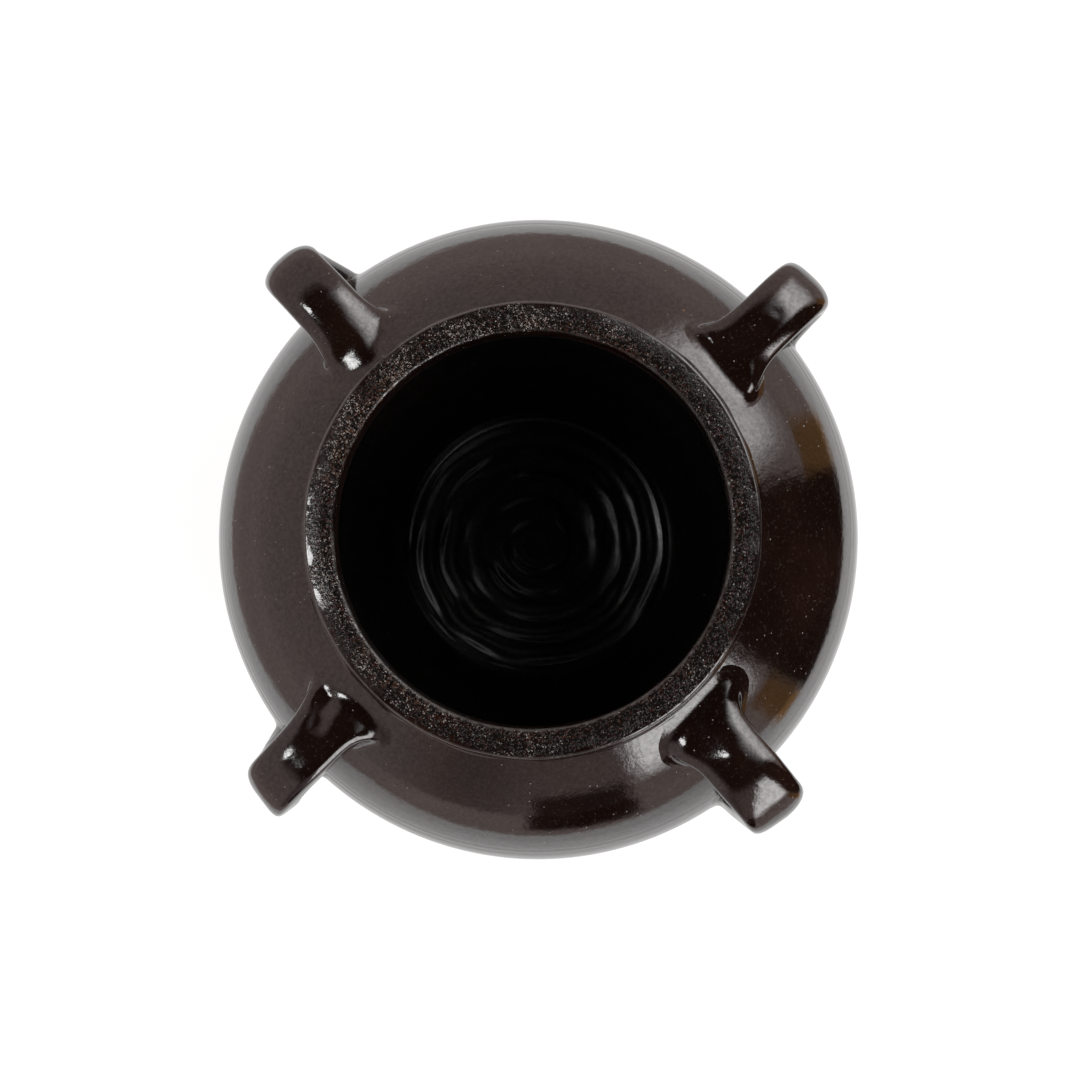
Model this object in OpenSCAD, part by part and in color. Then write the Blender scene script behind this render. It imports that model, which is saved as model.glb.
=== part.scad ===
// Squat black glazed clay pot with a short collar and strap handles on its shoulder.
// Millimetres, +Z up. The origin is the centre of the flat base, and a handle lies on each of +X, +Y, -X and -Y.
// Each course of the wall is keyed onto the one below by a low ring tongue, and the handles are seated on its outside.

/* [Body] */
// Widest outside diameter of the body
body_d = 200; // [184:1:224]
// Height of the widest point above the base
belly_h = 88; // [78:1:100]
// Radius of the belly's curve in a cut through the axis
belly_r = 60; // [55:1:65]
// Diameter of the flat base
base_d = 96; // [88:1:108]
// Thickness of the thrown wall
wall_t = 7; // [5.5:0.5:9]
// Thickness of the floor
floor_t = 9; // [6:0.5:12]
// Diameter of the floor inside, out to its corner with the wall
floor_d = 88; // [76:1:92]
// Height of the throwing ridges on the floor
ridge_h = 1.2; // [0.4:0.1:2]
// Number of throwing ridges from the centre of the floor to its corner
ridge_n = 4; // [2:1:6]

/* [Mouth] */
// Clear diameter of the mouth
mouth_d = 117; // [106:1:126]
// Width of the lip
lip_w = 9.5; // [8:0.5:12]
// Height of the collar above the shoulder
collar_h = 10; // [7:0.5:16]
// Rounding along both edges of the lip
lip_round = 2; // [1:0.5:3]

/* [Seams] */
// Height of the body's seam above its widest point
seam_rise = 20; // [10:1:24]
// Width of the ring tongue that keys each seam
tongue_w = 2.4; // [1.6:0.1:3]
// Height of that tongue
tongue_h = 2; // [1:0.1:2.6]
// Gap around each tongue, which slip fills
slip_gap = 0.2; // [0.1:0.05:0.4]

/* [Handles] */
// Width of the strap at its narrowest
strap_w = 19; // [15:1:23]
// Thickness of the strap at its thinnest
strap_t = 11; // [8:0.5:13]
// Width of the upper root, thumbed onto the shoulder
upper_root_w = 31; // [26:1:35]
// Width of the lower root, thumbed onto the belly
lower_root_w = 22; // [20:1:28]
// Extra thickness under the strap at either root
root_swell = 4; // [2:0.5:6]
// How far a handle stands out past the belly
handle_reach = 15; // [11:1:22]
// How far the strap's middle line starts below the collar's seat
root_drop = 9.5; // [8:0.5:11]
// How far the strap is drawn upward as it leaves the shoulder
crown_rise = 9; // [6:1:12]
// How far the lower root lies below the widest point
handle_drop = 12; // [6:1:18]

/* [Hidden] */
$fn = 96;

GLAZE = "#1d1613";
BARE_RIM = "#3b342f";

// Hand-made differences, in the order right, back, left, front
strap_extra = [0.2, 0.6, -0.8, 2.2];
upper_root_extra = [-2, -2, 2.5, 1];
reach_extra = [0.8, 0, 1.3, 0];
drop_extra = [0.3, -0.4, 1, -0.3];
rise_extra = [-3, -2, 2, 2.5];
root_shift = [-1.2, -0.5, 0.2, -1];
tip_shift = [-1, -0.5, 1.8, -3];
foot_shift = [-0.5, -4.5, -2.5, -4.5];

body_r = body_d / 2;
base_r = base_d / 2;
floor_r = floor_d / 2;
mouth_r = mouth_d / 2;
collar_r = mouth_r + lip_w;

// The belly's curve: its centre in the cut, and the radius of its inner face
curve_x = body_r - belly_r;
inner_r = belly_r - wall_t;

seam_z = belly_h + seam_rise;
seat_z = upper_z(belly_r, collar_r);
rim_z = seat_z + collar_h;
floor_edge_r = cone_x(floor_t);

// Height of the upper curve of radius r at a distance x from the axis
function upper_z(r, x) = belly_h + sqrt(r * r - (x - curve_x) * (x - curve_x));

// Distance from the axis of the curve of radius r at height z
function curve_at(r, z) = curve_x + sqrt(r * r - (z - belly_h) * (z - belly_h));

// Where a straight wall from the point (x, z) touches the curve of radius r
function touch_angle(r, x, z) = atan2(belly_h - z, x - curve_x)
    - acos(r / norm([x - curve_x, belly_h - z]));
function touch_point(r, x, z) = let (a = touch_angle(r, x, z))
    [curve_x + r * cos(a), belly_h - r * sin(a)];

// Distance from the axis of the outer cone below the belly at height z
function cone_x(z) = let (top = touch_point(belly_r, base_r, 0))
    base_r + (top[0] - base_r) * z / top[1];

// Cut of everything within the curve of radius r and the straight wall below it
module filled_cut(r, foot_x, foot_z) {
    intersection() {
        union() {
            translate([curve_x, belly_h]) circle(r);
            polygon([[0, foot_z], [foot_x, foot_z], touch_point(r, foot_x, foot_z),
                     [curve_x, belly_h], [0, belly_h]]);
        }
        square([body_r + 1, rim_z]);
    }
}

module outside_cut() {
    filled_cut(belly_r, base_r, 0);
}

module inside_cut() {
    filled_cut(inner_r, floor_r, floor_t);
}

// Cut of the wall between two heights, kept clear of the mouth
module wall_cut(low, high) {
    intersection() {
        difference() {
            outside_cut();
            inside_cut();
        }
        translate([min(mouth_r, floor_r), low]) square([body_r, high - low]);
    }
}

// Cuts of a seam's tongue and of the groove that takes it, about the middle of the seam's width
module tongue_cut(from_x, to_x, z) {
    translate([(from_x + to_x - tongue_w) / 2, z - tongue_h]) square([tongue_w, 2 * tongue_h]);
}

module groove_cut(from_x, to_x, z) {
    groove_w = tongue_w + 2 * slip_gap;
    groove_h = tongue_h + slip_gap;
    translate([(from_x + to_x - groove_w) / 2, z - groove_h]) square([groove_w, 2 * groove_h]);
}

module floor_seam_tongue() {
    tongue_cut(floor_r, floor_edge_r, floor_t);
}

module floor_seam_groove() {
    groove_cut(floor_r, floor_edge_r, floor_t);
}

module body_seam_tongue() {
    tongue_cut(curve_at(inner_r, seam_z), curve_at(belly_r, seam_z), seam_z);
}

module body_seam_groove() {
    groove_cut(curve_at(inner_r, seam_z), curve_at(belly_r, seam_z), seam_z);
}

module collar_seam_tongue() {
    tongue_cut(mouth_r, collar_r, seat_z);
}

module collar_seam_groove() {
    groove_cut(mouth_r, collar_r, seat_z);
}

// Floor: a disc with the throwing ridges on top and the first tongue near its edge
module floor_slab() {
    steps_per_ridge = 8;
    steps = ridge_n * steps_per_ridge;
    ridges = [for (i = [steps:-1:0])
        [floor_r * i / steps, floor_t + ridge_h * (1 - cos(360 * i / steps_per_ridge)) / 2]];
    color(GLAZE) rotate_extrude() {
        polygon(concat([[0, 0], [base_r, 0], [floor_edge_r, floor_t]], ridges));
        floor_seam_tongue();
    }
}

// Lower bowl: the wall from the floor up past the belly
module lower_bowl() {
    color(GLAZE) rotate_extrude() difference() {
        union() {
            wall_cut(floor_t, seam_z);
            body_seam_tongue();
        }
        floor_seam_groove();
    }
}

// Shoulder dome: the wall from the body's seam up to the collar's seat
module shoulder_dome() {
    color(GLAZE) rotate_extrude() difference() {
        union() {
            intersection() {
                wall_cut(seam_z, seat_z);
                translate([mouth_r, 0]) square([body_r, rim_z]);
            }
            collar_seam_tongue();
        }
        body_seam_groove();
    }
}

// Rim collar: a short upright ring with a rounded lip
module rim_collar() {
    color(BARE_RIM) rotate_extrude() difference() {
        union() {
            translate([mouth_r, seat_z]) square([lip_w, collar_h - lip_round]);
            translate([mouth_r + lip_round, seat_z]) square([lip_w - 2 * lip_round, collar_h]);
            for (x = [mouth_r + lip_round, collar_r - lip_round])
                translate([x, rim_z - lip_round]) circle(lip_round);
        }
        collar_seam_groove();
    }
}

// Point and direction at t on the cubic curve through p[0] and p[3] that is drawn towards p[1] and p[2]
function curve_point(p, t) = let (u = 1 - t)
    u * u * u * p[0] + 3 * u * u * t * p[1] + 3 * u * t * t * p[2] + t * t * t * p[3];
function curve_dir(p, t) = let (u = 1 - t)
    3 * u * u * (p[1] - p[0]) + 6 * u * t * (p[2] - p[1]) + 3 * t * t * (p[3] - p[2]);

// Middle line of a strap in the plane of the axis: it rises out of the shoulder beside the collar, levels
// out, turns down past the belly and comes back onto it. Both ends lie inside the wall.
root_tuck = 2;
end_sink = 3;
tip_t = 0.6;
tip_lead = 6;
bend_share = 0.93;
root_x = collar_r - root_tuck;
end_z = belly_h - handle_drop;
end_x = curve_at(belly_r, end_z) - strap_t / 2 - end_sink;
function strap_line(i) = let (
        root_z = seat_z - root_drop - drop_extra[i],
        tip_x = body_r + handle_reach + reach_extra[i] - strap_t / 2,
        pull_x = (tip_x - pow(1 - tip_t, 3) * root_x - pow(tip_t, 3) * end_x
                  + 3 * pow(1 - tip_t, 2) * tip_t * tip_lead) / (3 * tip_t * (1 - tip_t)))
    [[root_x, root_z],
     [pull_x - tip_lead, root_z + crown_rise + rise_extra[i]],
     [pull_x, end_z + bend_share * (root_z - end_z)],
     [end_x, end_z]];

// Upper root: its flare dies away outward along the strap's middle line, and its end by the collar is rounded
flare_start = 10;
flare_length = 5.5;
end_start = 8;
end_length = 12;
function upper_flare(x) = exp(-max(0, x - collar_r - flare_start) / flare_length);
function end_round(x) = sqrt(1 - pow(max(0, collar_r + end_start - x) / end_length, 2));

// Lower root: its flare is full along flare_full at the end of t and then fades out over flare_fade
flare_full = 0.05;
flare_fade = 0.19;
function lower_flare(t) = (1 + cos(180 * min(1, max(0, (1 - t - flare_full) / flare_fade)))) / 2;

// Rises from 0 to 1 as v goes from low to high
function eased(v, low, high) = (1 - cos(180 * min(1, max(0, (v - low) / (high - low))))) / 2;

// Full-sided oval outline point at angle a for half sizes w and h
oval_power = 0.8;
function oval_point(w, h, a) = [w * sign(cos(a)) * pow(abs(cos(a)), oval_power),
                                h * sign(sin(a)) * pow(abs(sin(a)), oval_power)];

strap_rings = 32;
strap_sides = 20;

// Values of t for the rings, closer together towards both ends
ring_crowding = 0.45;
function ring_t(k) = let (s = k / strap_rings) s - ring_crowding * sin(360 * s) / (2 * PI);

// Ring of points round strap i at t
function strap_ring(i, t) = let (
        line = strap_line(i),
        c = curve_point(line, t),
        d = curve_dir(line, t) / norm(curve_dir(line, t)),
        side = root_shift[i] + (tip_shift[i] - root_shift[i]) * sin(90 * min(1, t / tip_t))
            + (foot_shift[i] - tip_shift[i]) * eased(t, tip_t, 0.95),
        upper = t < tip_t ? upper_flare(c[0]) : 0,
        lower = lower_flare(t),
        rounded = t < tip_t ? end_round(c[0]) : 1,
        narrow = strap_w + strap_extra[i],
        w = narrow + (upper_root_w + upper_root_extra[i] - narrow) * upper + (lower_root_w - strap_w) * lower,
        swell = root_swell * (upper + lower))
    [for (j = [0:strap_sides - 1])
        let (o = (oval_point(w / 2, (strap_t + swell) / 2, 360 * j / strap_sides) - [0, swell / 2]) * rounded)
        [c[0] - d[1] * o[1], side + o[0], c[1] + d[0] * o[1]]];

module strap(i) {
    rings = [for (k = [0:strap_rings]) strap_ring(i, ring_t(k))];
    points = [for (ring = rings) each ring];
    function at(k, j) = k * strap_sides + j % strap_sides;
    sides = [for (k = [0:strap_rings - 1], j = [0:strap_sides - 1])
        each [[at(k, j), at(k + 1, j + 1), at(k + 1, j)], [at(k, j), at(k, j + 1), at(k + 1, j + 1)]]];
    near_cap = [for (j = [1:strap_sides - 2]) [at(0, 0), at(0, j + 1), at(0, j)]];
    far_cap = [for (j = [1:strap_sides - 2])
        [at(strap_rings, 0), at(strap_rings, j), at(strap_rings, j + 1)]];
    polyhedron(points, concat(sides, near_cap, far_cap));
}

// Handle i: a strap seated on the outside of the shoulder, the belly and the collar
module handle(i) {
    color(GLAZE) difference() {
        rotate([0, 0, 90 * i]) strap(i);
        rotate_extrude() {
            outside_cut();
            square([collar_r, rim_z]);
        }
    }
}

floor_slab();
lower_bowl();
shoulder_dome();
rim_collar();
handle(0);  // handle_right
handle(1);  // handle_back
handle(2);  // handle_left
handle(3);  // handle_front
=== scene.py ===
"""Looks of a squat black glazed clay pot with strap handles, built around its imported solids."""
import math

import bpy
import numpy as np
from mathutils import Matrix, Vector


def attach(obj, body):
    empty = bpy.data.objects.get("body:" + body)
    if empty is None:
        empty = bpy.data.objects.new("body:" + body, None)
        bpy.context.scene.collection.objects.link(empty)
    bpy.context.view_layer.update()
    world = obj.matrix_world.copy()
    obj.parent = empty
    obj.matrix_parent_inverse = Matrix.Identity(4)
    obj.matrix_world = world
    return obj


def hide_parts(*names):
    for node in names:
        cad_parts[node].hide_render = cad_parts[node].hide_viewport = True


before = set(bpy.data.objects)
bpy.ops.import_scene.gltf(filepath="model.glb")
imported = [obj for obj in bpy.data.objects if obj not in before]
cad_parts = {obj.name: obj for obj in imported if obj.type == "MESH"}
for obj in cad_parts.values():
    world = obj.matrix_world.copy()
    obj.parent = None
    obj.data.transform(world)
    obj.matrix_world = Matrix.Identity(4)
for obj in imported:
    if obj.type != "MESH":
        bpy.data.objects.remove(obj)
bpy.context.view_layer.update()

MM = 0.001

# Sizes of the solids, in millimetres
BODY_R = 100.0
BELLY_H = 88.0
BELLY_R = 60.0
CURVE_X = BODY_R - BELLY_R
WALL_T = 7.0
INNER_R = BELLY_R - WALL_T
BASE_R = 48.0
FLOOR_T = 9.0
FLOOR_R = 44.0
MOUTH_R = 58.5
LIP_W = 9.5
COLLAR_R = MOUTH_R + LIP_W
SEAM_Z = BELLY_H + 20.0
SEAT_Z = BELLY_H + math.sqrt(BELLY_R**2 - (COLLAR_R - CURVE_X) ** 2)
RIM_Z = SEAT_Z + 10.0

# Image bearing of the model's +X: the frame lies turned by this much in the photograph
TURN = math.radians(42.9)


# Camera: its place from the point it looks at, in metres, then its lens and shift

CAMERA_RIGHT = 0.034
CAMERA_DOWN = 0.054
CAMERA_UP = 1.2
SENSOR_MM = 36.0
LENS_MM = 128.0
IMAGE_PX = 1080
SHIFT_PX = (1.9, -1.1)


def add_camera():
    """Camera almost straight above the pot, turned as the photograph is."""
    up_angle = math.pi / 2 - TURN
    right = Vector((math.cos(-TURN), math.sin(-TURN), 0.0))
    up = Vector((math.cos(up_angle), math.sin(up_angle), 0.0))
    aim = Vector((0.0, 0.0, BELLY_H * MM))
    place = aim + right * CAMERA_RIGHT - up * CAMERA_DOWN + Vector((0.0, 0.0, CAMERA_UP))
    back = (place - aim).normalized()
    side = up.cross(back).normalized()
    stance = Matrix((side, back.cross(side), back)).transposed()
    data = bpy.data.cameras.new("camera")
    data.sensor_width = SENSOR_MM
    data.lens = LENS_MM
    data.shift_x = SHIFT_PX[0] / IMAGE_PX
    data.shift_y = SHIFT_PX[1] / IMAGE_PX
    data.clip_start = 0.05
    data.clip_end = 20.0
    camera = bpy.data.objects.new("camera", data)
    camera.matrix_world = Matrix.Translation(place) @ stance.to_4x4()
    bpy.context.scene.collection.objects.link(camera)
    bpy.context.scene.camera = camera


add_camera()


# Mesh helpers

def make_piece(name, points_mm, faces, node, materials,
               face_material=None, sharp=None, normals=None):
    """A smooth-shaded piece from points in millimetres and faces, standing for a CAD node.

    Points flagged as sharp crease the edges between them. With normals, faces whose points all have
    one take those, and the others are shaded flat."""
    points = np.asarray(points_mm)
    face_list = faces.tolist() if isinstance(faces, np.ndarray) else faces
    mesh = bpy.data.meshes.new(name)
    mesh.from_pydata((points * MM).tolist(), [], face_list)
    mesh.polygons.foreach_set("use_smooth", np.ones(len(mesh.polygons), bool))
    for material in materials:
        mesh.materials.append(material)
    if face_material is not None:
        mesh.polygons.foreach_set("material_index", np.asarray(face_material, np.int32))
    if sharp is not None:
        ends = np.empty(len(mesh.edges) * 2, np.int32)
        mesh.edges.foreach_get("vertices", ends)
        ends = ends.reshape(-1, 2)
        layer = mesh.attributes.new("sharp_edge", "BOOLEAN", "EDGE")
        layer.data.foreach_set("value", sharp[ends[:, 0]] & sharp[ends[:, 1]])
    mesh.update()
    if normals is not None:
        corners = normals[faces]
        plain = (np.abs(corners).sum(-1) < 1e-6).any(1)
        one_way = points[faces[:, 2]] - points[faces[:, 0]]
        other_way = points[faces[:, 3]] - points[faces[:, 1]]
        flat = np.cross(one_way, other_way)
        flat /= np.maximum(np.linalg.norm(flat, axis=1), 1e-12)[:, None]
        corners = np.where(plain[:, None, None], flat[:, None, :], corners)
        mesh.normals_split_custom_set(corners.reshape(-1, 3).tolist())
    piece = bpy.data.objects.new(name, mesh)
    bpy.context.scene.collection.objects.link(piece)
    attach(piece, "root")
    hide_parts(node)
    return piece


def ring_faces(rows, columns, close_rows):
    """Quads of a grid of points that closes round its columns, and round its rows if asked."""
    k = np.arange(rows if close_rows else rows - 1)[:, None]
    j = np.arange(columns)[None, :]
    k2 = (k + 1) % rows
    j2 = (j + 1) % columns
    quads = np.stack([k * columns + j, k * columns + j2, k2 * columns + j2, k2 * columns + j], -1)
    return quads.reshape(-1, 4)


def turned(x, z, angles):
    """Points round the axis at distances x and heights z."""
    return np.stack([x * np.cos(angles), x * np.sin(angles), z], -1)


def smooth_step(x, low, high):
    t = np.clip((x - low) / (high - low), 0.0, 1.0)
    return t * t * (3 - 2 * t)


def smooth_min(a, b, k):
    """The smaller of two values, rounded off where they differ by less than k."""
    h = np.maximum(k - np.abs(a - b), 0.0) / k
    return np.minimum(a, b) - h * h * k / 4


class Waves:
    """A sum of fixed sine waves in space, as smooth seeded noise of about the given wavelength."""

    def __init__(self, seed, wavelength, count=14):
        rng = np.random.default_rng(seed)
        way = rng.normal(size=(count, 3))
        way /= np.linalg.norm(way, axis=1)[:, None]
        self.ways = way * (2 * math.pi / wavelength * rng.uniform(0.6, 1.6, count))[:, None]
        self.phases = rng.uniform(0, 2 * math.pi, count)
        self.size = math.sqrt(2 / count)

    def at(self, points):
        return np.sin(points @ self.ways.T + self.phases).sum(-1) * self.size


# Profile of the wall

def cone_touch(radius, foot_x, foot_z):
    """Angle below the widest point where the straight wall from its foot touches the belly's curve."""
    dx = foot_x - CURVE_X
    dz = BELLY_H - foot_z
    return math.atan2(dz, dx) - math.acos(radius / math.hypot(dx, dz))


def curve_points(radius, low_angle, high_angle, step):
    """Points (x, z) along the belly's curve; angles are measured up from the widest point."""
    count = max(2, int(abs(high_angle - low_angle) * radius / step) + 1)
    a = np.linspace(low_angle, high_angle, count)
    return np.stack([CURVE_X + radius * np.cos(a), BELLY_H + radius * np.sin(a)], 1)


def straight_points(start, end, step):
    count = max(2, int(math.dist(start, end) / step) + 1)
    t = np.linspace(0, 1, count)[:, None]
    return np.asarray(start) * (1 - t) + np.asarray(end) * t


def bezier(p0, p1, p2, p3, count):
    t = np.linspace(0, 1, count)[:, None]
    u = 1 - t
    p0, p1, p2, p3 = map(np.asarray, (p0, p1, p2, p3))
    return u**3 * p0 + 3 * u * u * t * p1 + 3 * u * t * t * p2 + t**3 * p3


def arc(centre, radius, start, end, count):
    """Points on part of a circle, from one angle in degrees to another."""
    a = np.radians(np.linspace(start, end, count))
    return np.stack([centre[0] + radius * np.cos(a), centre[1] + radius * np.sin(a)], 1)


def chained(*runs):
    """One list of points from runs that share end points, and the indices of the corners between."""
    points, corners = [np.asarray(runs[0])], []
    for run in runs[1:]:
        corners.append(sum(map(len, points)) - 1)
        points.append(np.asarray(run)[1:])
    return np.concatenate(points), corners


def path_length(profile):
    steps = np.linalg.norm(np.diff(profile, axis=0), axis=1)
    return np.concatenate([[0.0], np.cumsum(steps)])


# Materials

class Nodes:
    """A short way to write a node tree."""

    def __init__(self, tree):
        self.tree = tree
        tree.nodes.clear()

    def add(self, kind, values=(), **settings):
        node = self.tree.nodes.new(kind)
        for name, value in settings.items():
            setattr(node, name, value)
        for socket, value in dict(values).items():
            if isinstance(value, bpy.types.NodeSocket):
                self.tree.links.new(value, node.inputs[socket])
            else:
                node.inputs[socket].default_value = value
        return node

    def math(self, operation, a, b=0.0, c=0.0):
        return self.add("ShaderNodeMath", {0: a, 1: b, 2: c}, operation=operation).outputs[0]

    def times(self, a, b):
        return self.math("MULTIPLY", a, b)

    def most(self, a, b):
        return self.math("MAXIMUM", a, b)

    def rest(self, share):
        """What is left of 1."""
        return self.math("SUBTRACT", 1.0, share)

    def between(self, a, b, share):
        """A number that goes from a to b as the share grows."""
        return self.math("MULTIPLY_ADD", self.math("SUBTRACT", b, a), share, a)

    def ramp(self, value, low, high, to_low=0.0, to_high=1.0):
        """The value taken smoothly from low..high to to_low..to_high."""
        node = self.add("ShaderNodeMapRange", {0: value, 1: low, 2: high, 3: to_low, 4: to_high},
                        interpolation_type="SMOOTHSTEP")
        return node.outputs[0]

    def mix(self, factor, a, b):
        node = self.add("ShaderNodeMix", {0: factor, 6: a, 7: b}, data_type="RGBA")
        return node.outputs[2]

    def noise(self, place, scale, detail=2.0, roughness=0.5):
        values = {"Vector": place, "Scale": scale, "Detail": detail, "Roughness": roughness}
        return self.add("ShaderNodeTexNoise", values).outputs["Fac"]

    def cells(self, place, scale):
        """Distance from the middle of the nearest cell, and that cell's three random numbers."""
        pattern = self.add("ShaderNodeTexVoronoi", {"Vector": place, "Scale": scale}).outputs
        picks = self.add("ShaderNodeSeparateColor", {0: pattern["Color"]}).outputs
        return pattern["Distance"], picks

    def specks(self, place, scale, size, share):
        """Mask of round specks, which only a share of the cells has."""
        distance, picks = self.cells(place, scale)
        dot = self.ramp(distance, size * 0.6, size, 1.0, 0.0)
        return self.times(dot, self.math("LESS_THAN", picks[0], share))

    def bump(self, height, distance, strength=1.0, normal=None):
        values = {"Height": height, "Distance": distance, "Strength": strength}
        if normal is not None:
            values["Normal"] = normal
        return self.add("ShaderNodeBump", values).outputs["Normal"]

    def place(self):
        return self.add("ShaderNodeTexCoord").outputs["Object"]

    def surface(self, shader):
        self.add("ShaderNodeOutputMaterial", {"Surface": shader})


def new_material(name):
    material = bpy.data.materials.new(name)
    material.use_nodes = True
    return material, Nodes(material.node_tree)


def image_parts(n, vector):
    """Parts of a direction or place, turned as the photograph is: right, up the image, and height."""
    way = n.add("ShaderNodeVectorRotate", {"Vector": vector, "Axis": (0.0, 0.0, 1.0), "Angle": TURN},
                rotation_type="AXIS_ANGLE").outputs[0]
    return n.add("ShaderNodeSeparateXYZ", {0: way}).outputs


def bearing_of(n, right, up):
    """Image bearing in degrees, anticlockwise from the right."""
    return n.times(n.math("ARCTAN2", up, right), 180 / math.pi)


GLAZE_IOR = 1.6
GLAZE_DARK = (0.0042, 0.0017, 0.0012, 1.0)
GLAZE_WARM = (0.0085, 0.0036, 0.0025, 1.0)
GLAZE_THIN = (0.024, 0.0100, 0.0045, 1.0)
SPECK = (0.30, 0.27, 0.24, 1.0)
RUST = (0.16, 0.045, 0.012, 1.0)
BLACK = (0.0, 0.0, 0.0, 1.0)

# The glaze inside is duller, and its colour is darkened towards black as painted shade inside the pot
INNER_ROUGH = 0.22
INNER_PAINTED_SHADE = 0.65

# Scales of the glaze's patterns, per metre
CLOUDS = 38.0
THIN_PLACES = 21.0
SPECKLED_PLACES = 30.0
SMALL_SPECKS = 420.0
LARGE_SPECKS = 110.0
RUST_SPECKS = 140.0
DUST = 1100.0
DULL_PLACES = 160.0
ORANGE_PEEL = 260.0
FINE_GRAIN = 1300.0
UNEVEN_SHINE = 800.0

# Heights of the glaze's bumps, in metres, and how much of their slope shows
PEEL_H = 0.00010
GRAIN_H = 0.000035
SPECK_H = 0.00010
BUMP_SHARE = 0.6


def glaze_shader(n, place):
    """Colour, roughness, normal and specular level of a glossy brown-black glaze.

    It has faint clouds, thin amber places, dust, orange peel, and pale and rusty specks."""
    cloud = n.ramp(n.noise(place, CLOUDS, 3.0, 0.55), 0.35, 0.7)
    thin = n.ramp(n.noise(place, THIN_PLACES), 0.60, 0.78)
    color = n.mix(cloud, GLAZE_DARK, GLAZE_WARM)
    color = n.mix(n.times(thin, 0.35), color, GLAZE_THIN)
    crowd = n.ramp(n.noise(place, SPECKLED_PLACES), 0.35, 0.65, 0.10, 0.55)
    small = n.specks(place, SMALL_SPECKS, 0.11, crowd)
    large = n.specks(place, LARGE_SPECKS, 0.05, 0.12)
    pale = n.most(small, large)
    rusty = n.specks(place, RUST_SPECKS, 0.06, 0.05)
    dust = n.ramp(n.noise(place, DUST, 3.0, 0.7), 0.56, 0.78)
    color = n.mix(n.times(dust, 0.09), color, SPECK)
    color = n.mix(n.times(pale, 0.45), color, SPECK)
    color = n.mix(n.times(rusty, 0.8), color, RUST)
    rough = n.ramp(n.noise(place, DULL_PLACES, 3.0, 0.6), 0.3, 0.75, 0.065, 0.125)
    rough = n.most(rough, n.times(pale, 0.4))
    normal = n.bump(n.noise(place, ORANGE_PEEL), PEEL_H, BUMP_SHARE)
    normal = n.bump(n.noise(place, FINE_GRAIN, 2.0, 0.6), GRAIN_H, BUMP_SHARE, normal)
    normal = n.bump(pale, SPECK_H, BUMP_SHARE, normal)
    shine = n.ramp(n.noise(place, UNEVEN_SHINE, 3.0, 0.65), 0.30, 0.70, 0.38, 0.56)
    return color, rough, normal, shine


def glazed_surface(n, color, rough, normal, shine):
    shader = n.add("ShaderNodeBsdfPrincipled", {
        "Base Color": color, "Roughness": rough, "IOR": GLAZE_IOR,
        "Normal": normal, "Specular IOR Level": shine})
    n.surface(shader.outputs[0])


def glaze_material(name, extra_rough, painted_shade_share):
    material, n = new_material(name)
    color, rough, normal, shine = glaze_shader(n, n.place())
    # Painted shade: the colour is taken this share of the way towards black
    color = n.mix(painted_shade_share, color, BLACK)
    glazed_surface(n, color, n.math("ADD", rough, extra_rough), normal, shine)
    return material


LIP_DARK = (0.0042, 0.0034, 0.0030, 1.0)
LIP_BROWN = (0.034, 0.017, 0.010, 1.0)
LIP_PALE = (0.20, 0.192, 0.18, 1.0)
LIP_RED = (0.040, 0.010, 0.007, 1.0)
# Grey of the edge lines: thin glaze with a painted reflection
LIP_THIN_EDGE_REFLECTION = (0.045, 0.042, 0.039, 1.0)

# Scales of the lip's patterns, per metre
LIP_BENDS = 1400.0
LIP_GRAINS = 1900.0
LIP_FLECKS = 3100.0
LIP_WORN_PLACES = 55.0
LIP_CROWDS = 75.0
LIP_DARK_PLACES = 600.0
LIP_FINE_GRIT = 2600.0

# How far the grains are bent out of shape, and the heights of the lip's bumps, in metres
BEND = 0.0008
GRIT_H = 0.00015
FINE_GRIT_H = 0.00004

# Share of the glaze's specular level that the grit keeps
GRIT_SHINE = 0.44


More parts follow.
